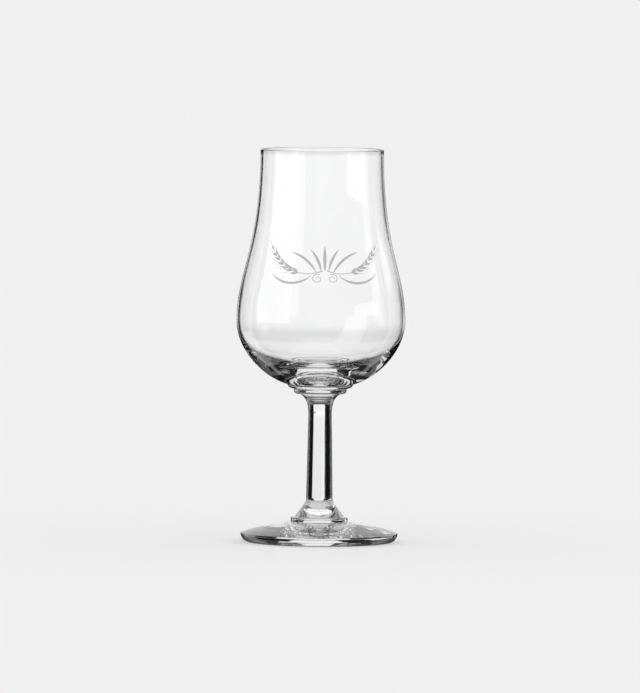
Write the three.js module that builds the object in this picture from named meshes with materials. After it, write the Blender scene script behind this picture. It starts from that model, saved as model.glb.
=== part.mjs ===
import * as THREE from 'three';

// A stemmed tasting glass made of three gathers of clear glass: a blown bowl with a heavy base,
// a drawn solid stem and a pressed foot. The pieces meet at two flat seams.
// Millimetres, +Z up. The origin is the middle of the circle that the foot stands on.

// Foot
const footRadius = 31;          // at the sharp upper edge of its rim
const footEdgeHeight = 3.6;     // from the table to that edge
const rimTuck = 3.4;            // how far the rim rounds in below the edge
const restWidth = 7;            // flat ring that stands on the table
const hollowDepth = 1;          // rise of the underside inside the flat ring
const crownHeight = 8;          // from the table to where the top meets the boss
const crownBulge = 0.55;        // how far the top swells above a straight cone
const bossRadius = 11.2;        // raised disc in the middle of the top
const bossHeight = 2;           // from the crown to the seam with the stem
const bossRound = 0.6;          // rounding of the boss's upper edge
const bossFillet = 0.5;         // hollow corner between the boss and the top

// Stem
const stemLength = 50.5;        // from seam to seam
const waistRadius = 4.6;        // thinnest part, below the upper flare
const ankleRadius = 5.22;       // shank just above the lower flare
const lowerFlareHeight = 7;     // from the seam with the foot up to the ankle
const upperFlareHeight = 8.4;   // from the waist up to the collar
const bossLedge = 1;            // flat of the boss left bare round the stem
const collarRadius = 10.4;      // disc under the bowl
const collarHeight = 1.9;
const collarRound = 0.3;        // rounding of the collar's upper edge
const collarUnder = 1.2;        // rounding of its lower edge
const collarLedge = 0.4;        // flat of the collar left bare round the bead

// Bowl
const bowlHeight = 94.5;        // from the seam with the stem to the lip
const bellyRadius = 33.25;      // widest part
const bellyHeight = 26.85;      // from the seam to the widest part
const mouthRadius = 24.3;
const lipWall = 0.9;
const bellyWall = 1.1;
const baseThickness = 6;        // solid glass on the axis
const beadOverhang = 3.2;       // how far the bowl's bead stands out from where it sits on the collar
const beadHeight = 1.7;

// Shape of the curves, as shares of the span that each curve covers
const shoulderFullness = 0.295; // upright run above the belly
const neckFullness = 0.59;      // upright run below the mouth
const underRun = 0.52;          // flat run out from the bead
const underRise = 0.125;
const bellyFullness = 0.44;     // upright run below the belly
const floorRun = 0.8;           // flat run of the inside out from the axis
const innerFullness = 0.42;     // upright run of the inside below the belly
const seatPull = 0.35;          // straight run of the lower flare up from the boss
const ankleFullness = 0.25;     // upright run of the lower flare below the ankle
const waistFullness = 0.33;     // upright run of the upper flare above the waist
const neckRun = 0.95;           // run of the upper flare in from the collar
const neckSlope = 0.12;         // and its fall, as a share of that run

const facets = 48;

// Heights of the two seams above the table, and the flat top of the collar
const footSeam = crownHeight + bossHeight;
const bowlSeam = footSeam + stemLength;
const collarFlat = collarRadius - collarRound;

const at = (radius, height) => new THREE.Vector2(radius, height);
const line = (from, to) => new THREE.LineCurve(from, to);
const bend = (from, pull, to) => new THREE.QuadraticBezierCurve(from, pull, to);
const sweep = (from, pullFrom, pullTo, to) => new THREE.CubicBezierCurve(from, pullFrom, pullTo, to);
const arc = (centre, radii, start, end) =>
  new THREE.EllipseCurve(centre.x, centre.y, radii.x, radii.y, start, end, false);

// The points of a half section: curves end to end, each with its number of steps.
function trace(...stretches) {
  const points = [stretches[0][0].getPoint(0)];
  for (const [curve, steps] of stretches) {
    points.push(...curve.getPoints(steps).slice(1));
  }
  return points;
}

// A solid turned about Z from a half section that starts and ends on the axis.
function turned(name, section, look) {
  const geometry = new THREE.LatheGeometry(section, facets);
  geometry.rotateX(Math.PI / 2);
  const mesh = new THREE.Mesh(geometry, new THREE.MeshStandardMaterial(look));
  mesh.name = name;
  return mesh;
}

// The foot: a flat ring to stand on round a shallow hollow, a rounded rim with a sharp upper edge,
// a low swelling top and a boss with a flat face for the stem.
function makeFoot() {
  const restRadius = footRadius - rimTuck;
  const hollowRadius = restRadius - restWidth;
  const edge = at(footRadius, footEdgeHeight);
  const crown = at(bossRadius + bossFillet, crownHeight);
  const swell = edge.clone().lerp(crown, 0.5).add(at(0, 2 * crownBulge));
  const wallFoot = at(bossRadius, crownHeight + bossFillet);
  const wallTop = at(bossRadius, footSeam - bossRound);
  const section = trace(
    [bend(at(0, hollowDepth), at(hollowRadius / 2, hollowDepth), at(hollowRadius, 0)), 4],
    [line(at(hollowRadius, 0), at(restRadius, 0)), 1],
    [arc(at(restRadius, footEdgeHeight), at(rimTuck, footEdgeHeight), -Math.PI / 2, 0), 5],
    [bend(edge, swell, crown), 5],
    [bend(crown, at(bossRadius, crownHeight), wallFoot), 2],
    [line(wallFoot, wallTop), 1],
    [arc(at(bossRadius - bossRound, wallTop.y), at(bossRound, bossRound), 0, Math.PI / 2), 3],
    [line(at(bossRadius - bossRound, footSeam), at(0, footSeam)), 1],
  );
  return turned('foot', section, { color: 0xe6ebea, roughness: 0.04, metalness: 0 });
}

// The stem: a slightly tapered solid rod that flares to the boss below and to a round-bottomed collar above.
function makeStem() {
  const seat = at(bossRadius - bossRound - bossLedge, 0);
  const ankle = at(ankleRadius, lowerFlareHeight);
  const neck = at(collarRadius - collarUnder, stemLength - collarHeight);
  const waist = at(waistRadius, neck.y - upperFlareHeight);
  const neckReach = neckRun * (neck.x - waist.x);
  const rimLow = at(collarRadius, neck.y + collarUnder);
  const rimHigh = at(collarRadius, stemLength - collarRound);
  const section = trace(
    [line(at(0, 0), seat), 1],
    [sweep(
      seat,
      seat.clone().lerp(ankle, seatPull),
      at(ankleRadius, (1 - ankleFullness) * lowerFlareHeight),
      ankle,
    ), 6],
    [line(ankle, waist), 3],
    [sweep(
      waist,
      at(waistRadius, waist.y + waistFullness * upperFlareHeight),
      neck.clone().sub(at(neckReach, neckSlope * neckReach)),
      neck,
    ), 8],
    [arc(at(neck.x, rimLow.y), at(collarUnder, collarUnder), -Math.PI / 2, 0), 4],
    [line(rimLow, rimHigh), 1],
    [arc(at(collarFlat, rimHigh.y), at(collarRound, collarRound), 0, Math.PI / 2), 2],
    [line(at(collarFlat, stemLength), at(0, stemLength)), 1],
  );
  const stem = turned('stem', section, { color: 0xe9eeed, roughness: 0.02, metalness: 0 });
  stem.position.z = footSeam;
  return stem;
}

// The bowl: a round bead on the collar, a wall that runs out, up round the belly and in to the mouth,
// a round lip, and an inside that follows the wall down to a heavy rounded base.
function makeBowl() {
  const seat = at(collarFlat - collarLedge, 0);
  const beadTop = at(seat.x + beadOverhang, beadHeight);
  const belly = at(bellyRadius, bellyHeight);
  const innerBelly = at(bellyRadius - bellyWall, bellyHeight);
  const lipHeight = bowlHeight - lipWall / 2;
  const mouth = at(mouthRadius, lipHeight);
  const innerMouth = at(mouthRadius - lipWall, lipHeight);
  const floor = at(0, baseThickness);
  const neckRise = lipHeight - bellyHeight;
  const underSpan = belly.clone().sub(beadTop);
  const innerSpan = innerBelly.clone().sub(floor);
  const section = trace(
    [line(at(0, 0), seat), 1],
    [arc(at(seat.x, beadHeight), at(beadOverhang, beadHeight), -Math.PI / 2, 0), 5],
    [sweep(
      beadTop,
      beadTop.clone().add(underSpan.clone().multiply(at(underRun, underRise))),
      at(bellyRadius, bellyHeight - bellyFullness * underSpan.y),
      belly,
    ), 10],
    [sweep(
      belly,
      at(bellyRadius, bellyHeight + shoulderFullness * neckRise),
      at(mouthRadius, lipHeight - neckFullness * neckRise),
      mouth,
    ), 10],
    [arc(at(mouthRadius - lipWall / 2, lipHeight), at(lipWall / 2, lipWall / 2), 0, Math.PI), 6],
    [sweep(
      innerMouth,
      at(innerMouth.x, lipHeight - neckFullness * neckRise),
      at(innerBelly.x, bellyHeight + shoulderFullness * neckRise),
      innerBelly,
    ), 10],
    [sweep(
      innerBelly,
      at(innerBelly.x, bellyHeight - innerFullness * innerSpan.y),
      at(floorRun * innerSpan.x, baseThickness),
      floor,
    ), 9],
  );
  const bowl = turned('bowl', section, { color: 0xf0f4f3, roughness: 0.02, metalness: 0 });
  bowl.position.z = bowlSeam;
  return bowl;
}

const glass = new THREE.Group();
glass.add(makeFoot(), makeStem(), makeBowl());

export default glass;
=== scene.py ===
import math

import bpy
import numpy as np
from mathutils import Euler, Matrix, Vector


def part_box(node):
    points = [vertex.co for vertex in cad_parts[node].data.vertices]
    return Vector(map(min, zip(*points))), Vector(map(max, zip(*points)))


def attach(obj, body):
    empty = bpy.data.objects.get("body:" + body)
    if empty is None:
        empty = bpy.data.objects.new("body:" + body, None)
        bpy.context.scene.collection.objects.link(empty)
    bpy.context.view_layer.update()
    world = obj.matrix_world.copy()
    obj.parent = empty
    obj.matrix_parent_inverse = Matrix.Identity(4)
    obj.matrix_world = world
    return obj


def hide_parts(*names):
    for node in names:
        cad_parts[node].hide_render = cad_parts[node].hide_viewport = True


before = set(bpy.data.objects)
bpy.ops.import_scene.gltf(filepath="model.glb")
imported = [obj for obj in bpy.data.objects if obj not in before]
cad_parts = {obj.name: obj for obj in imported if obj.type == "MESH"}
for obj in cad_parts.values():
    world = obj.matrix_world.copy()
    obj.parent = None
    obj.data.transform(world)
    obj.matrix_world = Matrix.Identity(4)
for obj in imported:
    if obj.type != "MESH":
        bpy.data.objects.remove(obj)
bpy.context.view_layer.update()                # foot, stem and bowl, in metres, +Z up
mm = 0.001
creaseAngle = math.radians(32)   # edges sharper than this stay crisp
print("frame loaded:", ", ".join(sorted(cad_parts)))


# Heights of the seams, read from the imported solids, in millimetres
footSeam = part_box("foot")[1][2] / mm
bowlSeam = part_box("stem")[1][2] / mm
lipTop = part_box("bowl")[1][2] / mm


# Cubic curve from p0 to p3 pulled towards p1 and p2; points are (radius, height), the first one left out
def sweep(p0, p1, p2, p3, steps):
    t = np.linspace(0, 1, steps + 1)[1:, None]
    p0, p1, p2, p3 = (np.array(p, float) for p in (p0, p1, p2, p3))
    return (1 - t)**3 * p0 + 3 * (1 - t)**2 * t * p1 + 3 * (1 - t) * t**2 * p2 + t**3 * p3


# Quadratic curve: a cubic whose two pulls lie two thirds of the way to one shared point
def bend(p0, pull, p2, steps):
    p0, pull, p2 = (np.array(p, float) for p in (p0, pull, p2))
    return sweep(p0, p0 + (pull - p0) * 2 / 3, p2 + (pull - p2) * 2 / 3, p2, steps)


# Part of an ellipse: centre + (a cos t, b sin t) between two angles in degrees
def arc(centre, radii, start, end, steps):
    t = np.radians(np.linspace(start, end, steps + 1)[1:])
    return np.array(centre) + np.array(radii) * np.stack([np.cos(t), np.sin(t)], 1)


# Straight run of even steps
def straight(p0, p1, steps):
    t = np.linspace(0, 1, steps + 1)[1:, None]
    return np.array(p0, float) * (1 - t) + np.array(p1, float) * t


# Each section point (r, h) goes round Z: x = r cos a, y = r sin a, z = h.
# The first and last points lie on the axis and are one vertex each, so both ends are closed.
# The faces round a seam end take material slot 1, and relief(r, a, h) lifts the points of a pressed pattern.
def turned(name, section, around, seamBelow=False, seamAbove=False, relief=None):
    angle = np.linspace(0, 2 * np.pi, around, endpoint=False)
    ring = section[1:-1]
    rows = len(ring)
    wall = np.stack([
        ring[:, :1] * np.cos(angle),
        ring[:, :1] * np.sin(angle),
        np.repeat(ring[:, 1:], around, 1),
    ], 2)
    if relief:
        wall[:, :, 2] += relief(ring[:, :1], angle, ring[:, 1:])
    wall = wall.reshape(-1, 3)
    verts = np.vstack([[0, 0, section[0, 1]], wall, [0, 0, section[-1, 1]]]) * mm
    here = np.arange(around)
    after = (here + 1) % around
    row = 1 + np.arange(rows - 1)[:, None] * around
    quads = np.stack([row + here, row + after, row + around + after, row + around + here], 2).reshape(-1, 4)
    lastRow = 1 + (rows - 1) * around
    below = np.stack([np.zeros_like(here), 1 + after, 1 + here], 1)
    above = np.stack([np.full(around, len(verts) - 1), lastRow + here, lastRow + after], 1)
    mesh = bpy.data.meshes.new(name)
    mesh.from_pydata(verts.tolist(), [], below.tolist() + quads.tolist() + above.tolist())
    slots = np.zeros(len(mesh.polygons), np.int32)
    slots[:around] = int(seamBelow)
    slots[len(slots) - around:] = int(seamAbove)
    mesh.polygons.foreach_set("material_index", slots)
    mesh.polygons.foreach_set("use_smooth", np.ones(len(slots), bool))
    mesh.set_sharp_from_angle(angle=creaseAngle)
    piece = bpy.data.objects.new(name, mesh)
    bpy.context.scene.collection.objects.link(piece)
    return piece


# Pressed foot, in millimetres
footSizes = {
    "radius": 31.0, "edgeHeight": 3.6, "rimTuck": 3.4, "restWidth": 7.0, "hollowDepth": 1.0,
    "crownHeight": 8.0, "crownBulge": 0.55, "bossRadius": 11.2, "bossRound": 0.6, "bossFillet": 0.5,
    "pipReach": 12.0, "pipStart": 3.0, "pipDepth": 0.26, "pipPitch": 1.7, "pipsRound": 44,
    "around": 352,
}


# The section runs along the hollow (a quadratic), the flat ring, the rim (a quarter ellipse),
# the swelling top (a quadratic) and the boss with its two small rounds
def makeFoot(s):
    rest = s["radius"] - s["rimTuck"]
    hollow = rest - s["restWidth"]
    edge = np.array([s["radius"], s["edgeHeight"]])
    crown = np.array([s["bossRadius"] + s["bossFillet"], s["crownHeight"]])
    swell = (edge + crown) / 2 + [0, 2 * s["crownBulge"]]
    wallFoot = (s["bossRadius"], s["crownHeight"] + s["bossFillet"])
    wallTop = (s["bossRadius"], footSeam - s["bossRound"])
    ledge = s["bossRadius"] - s["bossRound"]

    # Rings of pips under the middle, each ring half a pip on from the last:
    # depth * sin^2(pi r / pitch) * cos^2(pips a / 2), fading in from the middle and out past the reach
    def pips(r, a, h):
        shift = np.pi * (np.floor(r / s["pipPitch"]) % 2)
        under = h < s["hollowDepth"] + 0.01      # leaves out the top, which is higher
        fade = np.clip(s["pipReach"] + 1 - r, 0, 1) * np.clip(r / s["pipStart"], 0, 1) * under
        alongRing = np.cos((s["pipsRound"] * a + shift) / 2)**2
        return -s["pipDepth"] * fade * np.sin(np.pi * r / s["pipPitch"])**2 * alongRing

    section = np.vstack([
        [(0, s["hollowDepth"])],
        bend((0, s["hollowDepth"]), (hollow / 2, s["hollowDepth"]), (hollow, 0), 84),
        straight((hollow, 0), (rest, 0), 4),
        arc((rest, s["edgeHeight"]), (s["rimTuck"], s["edgeHeight"]), -90, 0, 24),
        bend(edge, swell, crown, 28),
        bend(crown, (s["bossRadius"], s["crownHeight"]), wallFoot, 8),
        straight(wallFoot, wallTop, 4),
        arc((ledge, wallTop[1]), (s["bossRound"], s["bossRound"]), 0, 90, 8),
        straight((ledge, footSeam), (stemSizes["seatRadius"], footSeam), 2),
        [(0, footSeam)],
    ])
    return turned("footGlass", section, s["around"], seamAbove=True, relief=pips)


# Drawn stem and its collar, in millimetres; pulls and runs are shares of the span that they bend
stemSizes = {
    "seatRadius": 9.6, "ankleRadius": 5.22, "waistRadius": 4.6,
    "lowerFlare": 7.0, "upperFlare": 8.4,
    "collarRadius": 10.4, "collarHeight": 1.9, "collarRound": 0.3, "collarUnder": 1.2, "collarLedge": 0.4,
    "seatPull": 0.35, "ankleFullness": 0.25, "waistFullness": 0.33, "neckRun": 0.95, "neckSlope": 0.12,
    "around": 192,
}


# The section is a cubic flare, a straight taper, a cubic flare out to the collar, and the collar's round edge
def makeStem(s):
    seat = np.array([s["seatRadius"], footSeam])
    ankle = np.array([s["ankleRadius"], footSeam + s["lowerFlare"]])
    neck = np.array([s["collarRadius"] - s["collarUnder"], bowlSeam - s["collarHeight"]])
    waist = np.array([s["waistRadius"], neck[1] - s["upperFlare"]])
    spread = neck[0] - waist[0]
    rimLow = neck[1] + s["collarUnder"]
    rimHigh = bowlSeam - s["collarRound"]
    flat = s["collarRadius"] - s["collarRound"]
    section = np.vstack([
        [(0, footSeam)],
        [seat],
        sweep(seat, seat + (ankle - seat) * s["seatPull"],
              ankle - [0, s["ankleFullness"] * s["lowerFlare"]], ankle, 24),
        straight(ankle, waist, 24),
        sweep(waist, waist + [0, s["waistFullness"] * s["upperFlare"]],
              neck - spread * s["neckRun"] * np.array([1, s["neckSlope"]]), neck, 32),
        arc((neck[0], rimLow), (s["collarUnder"], s["collarUnder"]), -90, 0, 14),
        straight((s["collarRadius"], rimLow), (s["collarRadius"], rimHigh), 3),
        arc((flat, rimHigh), (s["collarRound"], s["collarRound"]), 0, 90, 10),
        straight((flat, bowlSeam), (flat - s["collarLedge"], bowlSeam), 2),
        [(0, bowlSeam)],
    ])
    return turned("stemGlass", section, s["around"], seamBelow=True, seamAbove=True)


# Blown bowl, in millimetres; fullness, run and rise are shares of the span that they bend
bowlSizes = {
    "bellyRadius": 33.25, "bellyHeight": 26.85, "mouthRadius": 24.3, "lipWall": 0.9, "bellyWall": 1.1,
    "baseThickness": 6.0, "beadRadius": 12.9, "beadHeight": 1.7,
    "underRun": 0.52, "underRise": 0.125, "bellyFullness": 0.44, "shoulderFullness": 0.295,
    "neckFullness": 0.59, "innerFullness": 0.42, "floorRun": 0.8,
    "around": 256,
}


# The section is a quarter ellipse for the bead, cubics out to the belly and up to the mouth,
# a half circle for the lip, and cubics down the inside
def makeBowl(s):
    collar = stemSizes
    seat = (collar["collarRadius"] - collar["collarRound"] - collar["collarLedge"], bowlSeam)
    beadTop = np.array([s["beadRadius"], bowlSeam + s["beadHeight"]])
    belly = np.array([s["bellyRadius"], bowlSeam + s["bellyHeight"]])
    innerBelly = belly - [s["bellyWall"], 0]
    lip = lipTop - s["lipWall"] / 2
    mouth = np.array([s["mouthRadius"], lip])
    innerMouth = mouth - [s["lipWall"], 0]
    floorMid = np.array([0, bowlSeam + s["baseThickness"]])
    rise = np.array([0, lip - belly[1]])
    under = belly - beadTop
    inside = innerBelly - floorMid
    section = np.vstack([
        [(0, bowlSeam), seat],
        arc((seat[0], beadTop[1]), (beadTop[0] - seat[0], s["beadHeight"]), -90, 0, 16),
        sweep(beadTop, beadTop + under * (s["underRun"], s["underRise"]),
              belly - under * (0, s["bellyFullness"]), belly, 48),
        sweep(belly, belly + rise * s["shoulderFullness"], mouth - rise * s["neckFullness"], mouth, 56),
        arc((mouth[0] - s["lipWall"] / 2, lip), (s["lipWall"] / 2, s["lipWall"] / 2), 0, 180, 16),
        sweep(innerMouth, innerMouth - rise * s["neckFullness"],
              innerBelly + rise * s["shoulderFullness"], innerBelly, 56),
        sweep(innerBelly, innerBelly - inside * (0, s["innerFullness"]),
              floorMid + inside * (s["floorRun"], 0), floorMid, 48),
    ])
    return turned("bowlGlass", section, s["around"], seamBelow=True)


def mathNode(tree, operation, *values):
    node = tree.nodes.new("ShaderNodeMath")
    node.operation = operation
    for socket, value in zip(node.inputs, values):
        if isinstance(value, bpy.types.NodeSocket):
            tree.links.new(value, socket)
        else:
            socket.default_value = value
    return node.outputs[0]


skinSettings = {
    "slowScale": 1.0, "slowDetail": 1.0, "cordScale": 6.0, "cordDetail": 2.0, "cordShare": 0.12,
    "smearScale": 140.0, "smearDetail": 3.0, "smearFrom": 0.5, "smearTo": 0.8,
}


# Shared skin of hot-worked glass: slow waves, fine cords, faint haze and a breath of colour
def makeGlassSkin(s):
    group = bpy.data.node_groups.new("glassSkin", "ShaderNodeTree")
    face = group.interface
    face.new_socket("Position", in_out="INPUT", socket_type="NodeSocketVector")
    face.new_socket("Stretch", in_out="INPUT", socket_type="NodeSocketVector")
    face.new_socket("Haze", in_out="INPUT", socket_type="NodeSocketFloat")
    face.new_socket("Depth Tint", in_out="INPUT", socket_type="NodeSocketColor")
    face.new_socket("Height", in_out="OUTPUT", socket_type="NodeSocketFloat")
    face.new_socket("Roughness", in_out="OUTPUT", socket_type="NodeSocketFloat")
    face.new_socket("Color", in_out="OUTPUT", socket_type="NodeSocketColor")
    inward = group.nodes.new("NodeGroupInput").outputs
    outward = group.nodes.new("NodeGroupOutput").inputs
    pull = group.nodes.new("ShaderNodeVectorMath")
    pull.operation = "MULTIPLY"
    group.links.new(inward["Position"], pull.inputs[0])
    group.links.new(inward["Stretch"], pull.inputs[1])

    def waves(scale, detail, vector):
        node = group.nodes.new("ShaderNodeTexNoise")
        node.inputs["Scale"].default_value = scale
        node.inputs["Detail"].default_value = detail
        group.links.new(vector, node.inputs["Vector"])
        return node.outputs["Fac"]

    slow = waves(s["slowScale"], s["slowDetail"], pull.outputs[0])
    cords = waves(s["cordScale"], s["cordDetail"], pull.outputs[0])
    group.links.new(mathNode(group, "MULTIPLY_ADD", cords, s["cordShare"], slow), outward["Height"])
    smears = waves(s["smearScale"], s["smearDetail"], inward["Position"])
    patches = group.nodes.new("ShaderNodeMapRange")
    group.links.new(smears, patches.inputs["Value"])
    patches.inputs["From Min"].default_value = s["smearFrom"]
    patches.inputs["From Max"].default_value = s["smearTo"]
    haze = mathNode(group, "MULTIPLY", patches.outputs["Result"], inward["Haze"])
    group.links.new(haze, outward["Roughness"])
    mix = group.nodes.new("ShaderNodeMix")
    mix.data_type = "RGBA"
    group.links.new(slow, mix.inputs["Factor"])
    mix.inputs[6].default_value = (1, 1, 1, 1)
    group.links.new(inward["Depth Tint"], mix.inputs[7])
    group.links.new(mix.outputs[2], outward["Color"])
    return group


glassIor = 1.5
# Stretch squeezes the waves along X, Y and Z; tint is the colour of the deepest waves
glassLooks = {
    "foot": {"stretch": (90, 90, 260), "haze": 0.03, "tint": (0.975, 0.985, 0.98, 1), "bump": 0.05},
    "stem": {"stretch": (420, 420, 14), "haze": 0.01, "tint": (0.985, 0.99, 0.988, 1), "bump": 0.05},
    "bowl": {"stretch": (55, 55, 38), "haze": 0.01, "tint": (0.99, 0.995, 0.993, 1), "bump": 0.02},
}


def clearGlass(name, look, skin):
    material = bpy.data.materials.new(name)
    material.use_nodes = True
    tree = material.node_tree
    shader = tree.nodes["Principled BSDF"]
    shader.inputs["IOR"].default_value = glassIor
    shader.inputs["Transmission Weight"].default_value = 1.0
    here = tree.nodes.new("ShaderNodeTexCoord").outputs["Object"]
    surface = tree.nodes.new("ShaderNodeGroup")
    surface.node_tree = skin
    tree.links.new(here, surface.inputs["Position"])
    surface.inputs["Stretch"].default_value = look["stretch"]
    surface.inputs["Haze"].default_value = look["haze"]
    surface.inputs["Depth Tint"].default_value = look["tint"]
    bump = tree.nodes.new("ShaderNodeBump")
    bump.inputs["Strength"].default_value = look["bump"]
    bump.inputs["Distance"].default_value = mm
    tree.links.new(surface.outputs["Height"], bump.inputs["Height"])
    tree.links.new(surface.outputs["Roughness"], shader.inputs["Roughness"])
    tree.links.new(surface.outputs["Color"], shader.inputs["Base Color"])
    tree.links.new(bump.outputs["Normal"], shader.inputs["Normal"])
    return material


# Where two pieces are fused there is no surface left, so the inner faces let everything pass
def fusedSeam():
    material = bpy.data.materials.new("fusedSeam")
    material.use_nodes = True
    shader = material.node_tree.nodes["Principled BSDF"]
    shader.inputs["Transmission Weight"].default_value = 1.0
    shader.inputs["Alpha"].default_value = 0.0
    return material


seam = fusedSeam()
skin = makeGlassSkin(skinSettings)
pieces = {
    "foot": makeFoot(footSizes),
    "stem": makeStem(stemSizes),
    "bowl": makeBowl(bowlSizes),
}
for node, piece in pieces.items():
    piece.data.materials.append(clearGlass(node + "Clear", glassLooks[node], skin))
    piece.data.materials.append(seam)
    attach(piece, "root")
    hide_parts(node)
    print(piece.name, len(piece.data.polygons), "faces")


# Etched spray of barley on the front, drawn flat in millimetres: u across, v up from its middle
spray = {
    "middle": 111.9, "across": 1.4, "wide": 1.23, "tall": 1.06, "unroll": 29.5, "proud": 0.03, "sunk": 0.02,
    "shoulder": 0.7, "stalkSteps": 48, "leafSteps": 28, "grainSteps": 16,
    "stalk": [(0.6, -3.2), (7.0, -6.4), (13.5, -3.0), (18.4, 4.0)], "stalkHalf": 0.17,
    "grainPairs": 7, "firstGrain": 0.42, "grainLength": 2.7, "grainHalf": 0.4, "grainTurn": 33.0,
    "grainBow": 0.6, "largest": 1.15, "shrink": 0.4, "awnLength": 3.4, "awnHalf": 0.08, "awnTaper": 0.6,
    "leaves": [
        [(4.2, -4.9), (7.5, -8.6), (13.0, -9.2), (17.6, -4.6)],
        [(2.6, -4.0), (4.4, -0.4), (7.2, 2.4), (11.4, 3.4)],
        [(1.2, -3.4), (1.6, -0.6), (2.6, 2.0), (4.8, 4.6)],
    ],
    "leafHalf": 0.4,
    "curl": {
        "middle": (2.3, -6.2), "wide": 1.75, "start": 115.0, "turns": 1.35, "tighten": 0.72,
        "half": 0.16, "taper": 0.4,
    },
    "bud": [(0.0, -3.4), (0.0, -0.8), (0.0, 2.6), (0.0, 5.8)], "budHalf": 0.5,
}


# A stroke is a flat six-sided section carried along a path: across by the half width, up by the proud height
def etchedStroke(path, half, s):
    along = np.gradient(path, axis=0)
    along /= np.linalg.norm(along, axis=1, keepdims=True)
    left = np.stack([-along[:, 1], along[:, 0]], 1)
    inner = s["shoulder"]
    side = np.array([1, inner, -inner, -1, -inner, inner])
    lift = np.array([0, 1, 1, 0, 0, 0]) * s["proud"] - np.array([0, 0, 0, 0, 1, 1]) * s["sunk"]
    flat = path[:, None, :] + left[:, None, :] * (half[:, None] * side)[:, :, None]
    points = np.concatenate([flat, np.broadcast_to(lift, half.shape + (6,))[:, :, None]], 2).reshape(-1, 3)
    ring = np.arange(6)
    start = np.arange(len(path) - 1)[:, None] * 6
    quads = np.stack([start + ring, start + (ring + 1) % 6, start + 6 + (ring + 1) % 6, start + 6 + ring], 2)
    return points, quads.reshape(-1, 4), ring[::-1], (len(path) - 1) * 6 + ring


# Half width that swells from a fine tip to full and back: full * sin(pi t)^0.8 + tip
def swelling(full, steps, tip=0.04):
    return full * np.sin(np.pi * np.linspace(0, 1, steps + 1))**0.8 + tip


# One side of the spray as paths with half widths, then its mirror image and the bud in the middle.
# The stalk, leaves and bud are cubics, the grains arcs set off to both sides of the stalk, the curl a spiral.
def sprayStrokes(s):
    one = []
    stalkSteps, leafSteps, grainSteps = s["stalkSteps"], s["leafSteps"], s["grainSteps"]
    stalk = np.vstack([s["stalk"][0], sweep(*s["stalk"], stalkSteps)])
    one.append((stalk, np.linspace(s["stalkHalf"], s["stalkHalf"] / 2, stalkSteps + 1)))
    for leaf in s["leaves"]:
        one.append((np.vstack([leaf[0], sweep(*leaf, leafSteps)]), swelling(s["leafHalf"], leafSteps)))
    heading = np.gradient(stalk, axis=0)
    heading = np.degrees(np.arctan2(heading[:, 1], heading[:, 0]))
    shares = np.linspace(s["firstGrain"], 1, s["grainPairs"])
    for share in shares:
        row = int(round(share * stalkSteps))
        size = s["largest"] - s["shrink"] * share
        for turn in ((s["grainTurn"], -s["grainTurn"]) if share < 1 else (0.0,)):
            base = heading[row] + turn
            t = np.linspace(0, 1, grainSteps + 1)[:, None]
            bow = np.radians(base - turn * s["grainBow"] * t)
            step = np.hstack([np.cos(bow), np.sin(bow)]) * s["grainLength"] * size / grainSteps
            grain = stalk[row] + np.cumsum(step, 0) - step[0]
            one.append((grain, swelling(s["grainHalf"] * size, grainSteps)))
            reach = np.hstack([np.cos(bow[-1:]), np.sin(bow[-1:])]) * s["awnLength"] * size
            one.append((grain[-1] + reach * t, s["awnHalf"] * (1 - s["awnTaper"] * t[:, 0])))
    c = s["curl"]
    t = np.linspace(0, 1, stalkSteps + 1)
    angle = np.radians(c["start"]) - 2 * np.pi * c["turns"] * t
    radius = c["wide"] * (1 - c["tighten"] * t)
    curl = np.array(c["middle"]) + np.stack([radius * np.cos(angle), radius * np.sin(angle)], 1)
    one.append((curl, c["half"] * (1 - c["taper"] * t)))
    both = one + [(path * [-1, 1], half) for path, half in one]
    bud = s["bud"]
    return both + [(np.vstack([bud[0], sweep(*bud, leafSteps)]), swelling(s["budHalf"], leafSteps))]


# The flat drawing bends round the bowl: angle = (wide u + across) / unroll, height = middle + tall v,
# radius = bowl's outside there + lift
def makeSpray(s, bowl):
    mouth = lipTop - bowl["lipWall"] / 2
    belly = bowlSeam + bowl["bellyHeight"]
    rise = mouth - belly
    wall = sweep(
        (bowl["bellyRadius"], belly), (bowl["bellyRadius"], belly + bowl["shoulderFullness"] * rise),
        (bowl["mouthRadius"], mouth - bowl["neckFullness"] * rise), (bowl["mouthRadius"], mouth), 200,
    )
    points, faces, count = [], [], 0
    for path, half in sprayStrokes(s):
        verts, quads, first, last = etchedStroke(path, half, s)
        points.append(verts)
        faces += (quads + count).tolist() + [(first + count).tolist(), (last + count).tolist()]
        count += len(verts)
    u, v, lift = np.vstack(points).T
    height = s["middle"] + v * s["tall"]
    radius = np.interp(height, wall[:, 1], wall[:, 0]) + lift
    angle = (u * s["wide"] + s["across"]) / s["unroll"]
    verts = np.stack([radius * np.sin(angle), -radius * np.cos(angle), height], 1) * mm
    mesh = bpy.data.meshes.new("etchedSpray")
    mesh.from_pydata(verts.tolist(), [], faces)
    piece = bpy.data.objects.new("etchedSpray", mesh)
    bpy.context.scene.collection.objects.link(piece)
    return piece


frost = {
    "tint": 0.5, "contrast": 0.14, "grainScale": 5200.0, "grainDetail": 2.0, "grainFrom": 0.3, "grainTo": 0.7,
    "roughness": 0.75, "bump": 0.4, "bumpDepth": 0.00005,
}


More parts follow.
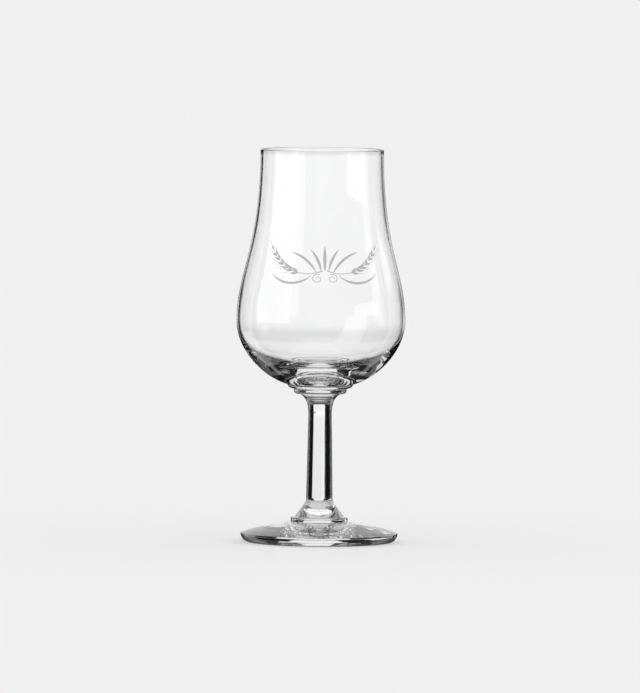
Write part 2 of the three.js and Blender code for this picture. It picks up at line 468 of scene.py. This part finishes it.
# Ground glass: pale and matt, with a fine crystalline grain
def frosted(s):
    material = bpy.data.materials.new("frosted")
    material.use_nodes = True
    tree = material.node_tree
    shader = tree.nodes["Principled BSDF"]
    here = tree.nodes.new("ShaderNodeTexCoord").outputs["Object"]
    grain = tree.nodes.new("ShaderNodeTexNoise")
    grain.inputs["Scale"].default_value = s["grainScale"]
    grain.inputs["Detail"].default_value = s["grainDetail"]
    tree.links.new(here, grain.inputs["Vector"])
    tone = tree.nodes.new("ShaderNodeMapRange")
    tree.links.new(grain.outputs["Fac"], tone.inputs["Value"])
    tone.inputs["From Min"].default_value = s["grainFrom"]
    tone.inputs["From Max"].default_value = s["grainTo"]
    tone.inputs["To Min"].default_value = s["tint"] * (1 - s["contrast"])
    tone.inputs["To Max"].default_value = s["tint"] * (1 + s["contrast"])
    tree.links.new(tone.outputs["Result"], shader.inputs["Base Color"])
    shader.inputs["Roughness"].default_value = s["roughness"]
    bump = tree.nodes.new("ShaderNodeBump")
    bump.inputs["Strength"].default_value = s["bump"]
    bump.inputs["Distance"].default_value = s["bumpDepth"]
    tree.links.new(grain.outputs["Fac"], bump.inputs["Height"])
    tree.links.new(bump.outputs["Normal"], shader.inputs["Normal"])
    return material


etching = makeSpray(spray, bowlSizes)
etching.data.materials.append(frosted(frost))
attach(etching, "root")
print(etching.name, len(etching.data.polygons), "faces")


studio = {
    "backdrop": 0.875,           # what the camera sees behind the glass
    "fill": 1.0,                 # even light on matt surfaces
    "softness": 1.5,             # half width of each panel's soft edge, in degrees
    # Panels: azimuth from +Y towards +X, elevation, half width, half height (degrees), level.
    # A later panel covers the ones before it.
    "throughRoom": 0.13,         # what bent light meets where there is no panel
    "through": [
        (0.0, 90.0, 200.0, 32.0, 0.62),       # ceiling
        (180.0, 74.0, 118.0, 18.0, 0.05),     # dark over the sides and the camera
        (0.0, -90.0, 200.0, 60.0, 0.42),      # table
        (0.0, -90.0, 200.0, 25.0, 0.62),      # table close to the glass
        (0.0, 46.0, 200.0, 12.0, 0.01),       # dark frieze all round
        (3.5, 48.0, 21.0, 9.0, 0.25),         # opening in the frieze
        (3.5, 44.0, 21.0, 4.5, 0.6),
        (3.5, 31.0, 21.0, 9.0, 0.04),         # dark top of the backdrop
        (-29.0, -1.0, 13.0, 18.0, 0.005),     # flags beside the backdrop
        (32.0, -1.0, 10.0, 18.0, 0.005),
        (106.0, 0.0, 14.0, 13.0, 0.005),      # flags to the sides
        (-111.5, -2.0, 14.5, 18.0, 0.005),
        (142.0, 5.0, 25.0, 35.0, 0.01),       # dark room round the camera
        (-142.0, 5.0, 25.0, 35.0, 0.01),
        (180.0, 38.0, 32.0, 20.0, 0.005),
        (90.0, 16.0, 6.0, 4.0, 0.85),         # small lights to the sides
        (-79.0, 6.0, 3.0, 4.0, 0.8),
        (-45.0, -25.0, 13.0, 12.0, 0.95),     # pale table: far left, left and near right
        (-89.0, -13.5, 9.0, 15.5, 0.95),
        (135.0, -17.0, 12.0, 14.0, 0.95),
        (3.8, -7.0, 19.3, 23.0, 0.97),        # backdrop
        (3.8, 5.0, 19.3, 8.5, 0.95),
        (3.8, -7.5, 19.3, 3.5, 0.86),         # line where it meets the table
        (-24.5, -27.0, 11.5, 20.0, 0.005),    # dark far corners of the table
        (38.0, -28.0, 21.0, 21.0, 0.005),
        (-50.0, -3.0, 12.0, 9.0, 0.005),      # outer flags
        (52.0, -3.0, 12.0, 9.0, 0.005),
        (33.0, 39.0, 7.0, 9.0, 0.42),         # grey gaps in the frieze
        (-33.0, 39.0, 7.0, 9.0, 0.42),
        (50.0, 44.0, 10.0, 14.0, 0.3),
        (-50.0, 44.0, 10.0, 14.0, 0.3),
        (3.8, -1.6, 19.3, 1.9, 1.09),         # brightest band of the backdrop
        (20.0, -1.2, 5.0, 0.8, 0.2),          # narrow flag at its right edge
        (2.0, -46.0, 15.0, 15.0, 0.66),       # table between glass and backdrop
    ],
    "mirrorRoom": 0.03,          # and what mirrored light meets
    "mirror": [
        (0.0, 90.0, 200.0, 40.0, 1.2),        # ceiling
        (0.0, -90.0, 200.0, 50.0, 0.12),      # table
        (0.0, 23.0, 40.0, 20.0, 0.9),         # upper backdrop
        (-48.0, -5.0, 22.0, 40.0, 1.2),       # cards beside it
        (50.0, -5.0, 22.0, 40.0, 1.2),
        (-19.5, -17.5, 16.5, 21.5, 0.005),    # flags under it
        (21.5, -17.5, 18.5, 21.5, 0.005),
        (0.0, -2.0, 3.0, 8.0, 0.9),           # gap between the flags
    ],
}

# Cards that only show as reflections. Each edge has its azimuth and half width (degrees),
# then its distance and height (metres).
softboxes = {
    "softboxLeft": {"lower": (-110.0, 26.9, 0.6, 0.06), "upper": (-110.0, 26.9, 0.6, 1.2), "level": 2.0},
    "softboxRight": {"lower": (115.0, 19.0, 0.6, 0.115), "upper": (115.0, 19.0, 0.6, 0.2), "level": 2.0},
    "softboxLow": {"lower": (143.0, 18.0, 0.12, 0.002), "upper": (131.0, 15.0, 0.6, 0.115), "level": 1.8},
}


# Corner of a card: the middle of its edge, then across by distance * tan(half width)
def cardCorner(azimuth, half, away, height, side):
    turn = math.radians(azimuth)
    across = side * math.tan(math.radians(half))
    x = away * (math.sin(turn) + across * math.cos(turn))
    y = away * (math.cos(turn) - across * math.sin(turn))
    return x, y, height


def makeSoftbox(name, s):
    corners = [
        cardCorner(*s["lower"], -1), cardCorner(*s["lower"], 1),
        cardCorner(*s["upper"], 1), cardCorner(*s["upper"], -1),
    ]
    mesh = bpy.data.meshes.new(name)
    mesh.from_pydata(corners, [], [(0, 1, 2, 3)])
    box = bpy.data.objects.new(name, mesh)
    bpy.context.scene.collection.objects.link(box)
    material = bpy.data.materials.new(name)
    material.use_nodes = True
    tree = material.node_tree
    tree.nodes.remove(tree.nodes["Principled BSDF"])
    glow = tree.nodes.new("ShaderNodeEmission")
    glow.inputs["Strength"].default_value = s["level"]
    tree.links.new(glow.outputs[0], tree.nodes["Material Output"].inputs["Surface"])
    mesh.materials.append(material)
    box.visible_camera = False
    box.visible_diffuse = False
    box.visible_transmission = False
    box.visible_shadow = False


# A mask that falls from 1 to 0 as the distance passes the half width, softened by a smoothstep
def edge(tree, distance, half, soft):
    node = tree.nodes.new("ShaderNodeMapRange")
    node.interpolation_type = "SMOOTHSTEP"
    tree.links.new(distance, node.inputs["Value"])
    node.inputs["From Min"].default_value = half - soft
    node.inputs["From Max"].default_value = half + soft
    node.inputs["To Min"].default_value = 1
    node.inputs["To Max"].default_value = 0
    return node.outputs["Result"]


# The world by ray: one pale tone for the camera, an even fill for matt surfaces,
# and rooms of panels for what the glass mirrors and for what it bends
def makeStudio(s):
    world = bpy.data.worlds.new("studio")
    bpy.context.scene.world = world
    world.use_nodes = True
    tree = world.node_tree
    look = tree.nodes.new("ShaderNodeTexCoord").outputs["Generated"]
    parts = tree.nodes.new("ShaderNodeSeparateXYZ")
    tree.links.new(look, parts.inputs[0])
    azimuth = mathNode(tree, "DEGREES", mathNode(tree, "ARCTAN2", parts.outputs["X"], parts.outputs["Y"]))
    elevation = mathNode(tree, "DEGREES", mathNode(tree, "ARCSINE", parts.outputs["Z"]))

    def room(level, panels):
        for panelAz, panelEl, halfAz, halfEl, panelLevel in panels:
            turn = mathNode(tree, "WRAP", mathNode(tree, "SUBTRACT", azimuth, panelAz), 180.0, -180.0)
            across = edge(tree, mathNode(tree, "ABSOLUTE", turn), halfAz, s["softness"])
            lift = mathNode(tree, "ABSOLUTE", mathNode(tree, "SUBTRACT", elevation, panelEl))
            mask = mathNode(tree, "MULTIPLY", across, edge(tree, lift, halfEl, s["softness"]))
            keep = mathNode(tree, "MULTIPLY", mathNode(tree, "SUBTRACT", 1.0, mask), level)
            level = mathNode(tree, "MULTIPLY_ADD", mask, panelLevel, keep)
        return level

    def choose(which, chosen, other):
        rest = mathNode(tree, "MULTIPLY", mathNode(tree, "SUBTRACT", 1.0, which), other)
        return mathNode(tree, "MULTIPLY_ADD", which, chosen, rest)

    rays = tree.nodes.new("ShaderNodeLightPath").outputs
    strength = choose(rays["Is Camera Ray"], s["backdrop"], s["fill"])
    strength = choose(rays["Is Glossy Ray"], room(s["mirrorRoom"], s["mirror"]), strength)
    strength = choose(rays["Is Transmission Ray"], room(s["throughRoom"], s["through"]), strength)
    fromMatt = mathNode(tree, "GREATER_THAN", rays["Diffuse Depth"], 0.5)
    strength = choose(fromMatt, s["fill"], strength)
    tree.links.new(strength, tree.nodes["Background"].inputs["Strength"])
    tree.nodes["Background"].inputs["Color"].default_value = (1, 1, 1, 1)


floorSetup = {"radius": 2.5, "sides": 96, "tone": studio["backdrop"]}


# A flat disc: x = r cos a, y = r sin a
def makeFloor(s):
    mesh = bpy.data.meshes.new("floor")
    angle = np.linspace(0, 2 * np.pi, s["sides"], endpoint=False)
    ring = np.stack([np.cos(angle), np.sin(angle), 0 * angle], 1) * s["radius"]
    mesh.from_pydata(ring.tolist(), [], [list(range(s["sides"]))])
    floor = bpy.data.objects.new("floor", mesh)
    bpy.context.scene.collection.objects.link(floor)
    material = bpy.data.materials.new("paleTable")
    material.use_nodes = True
    tree = material.node_tree
    tree.nodes.remove(tree.nodes["Principled BSDF"])
    matt = tree.nodes.new("ShaderNodeBsdfDiffuse")
    matt.inputs["Color"].default_value = (s["tone"], s["tone"], s["tone"], 1)
    tree.links.new(matt.outputs[0], tree.nodes["Material Output"].inputs["Surface"])
    mesh.materials.append(material)
    floor.visible_transmission = False
    floor.visible_glossy = False


# Metres, degrees and millimetres of lens
cameraSetup = {
    "distance": 4.6, "height": 0.318, "aimHeight": 0.0772, "across": -0.00025, "roll": 0.5, "lens": 607.0,
    "clipEnd": 50,
}


def makeCamera(s):
    data = bpy.data.cameras.new("camera")
    camera = bpy.data.objects.new("camera", data)
    bpy.context.scene.collection.objects.link(camera)
    drop = math.atan2(s["height"] - s["aimHeight"], s["distance"])
    camera.location = (s["across"], -s["distance"], s["height"])
    aim = Euler((math.pi / 2 - drop, 0, 0)).to_matrix() @ Euler((0, 0, math.radians(s["roll"]))).to_matrix()
    camera.rotation_euler = aim.to_euler()
    data.lens = s["lens"]
    data.clip_end = s["clipEnd"]
    bpy.context.scene.camera = camera


makeStudio(studio)
makeFloor(floorSetup)
for name, setup in softboxes.items():
    makeSoftbox(name, setup)
makeCamera(cameraSetup)
print("studio, floor, cards and camera set")

bpy.context.scene.view_settings.view_transform = "Standard"
glassBounces = 24                # light crosses many faces in the base
seamBounces = 48                 # and the fused seams on top of those
cycles = bpy.context.scene.cycles
cycles.max_bounces = glassBounces
cycles.transmission_bounces = glassBounces
cycles.glossy_bounces = glassBounces
cycles.transparent_max_bounces = seamBounces
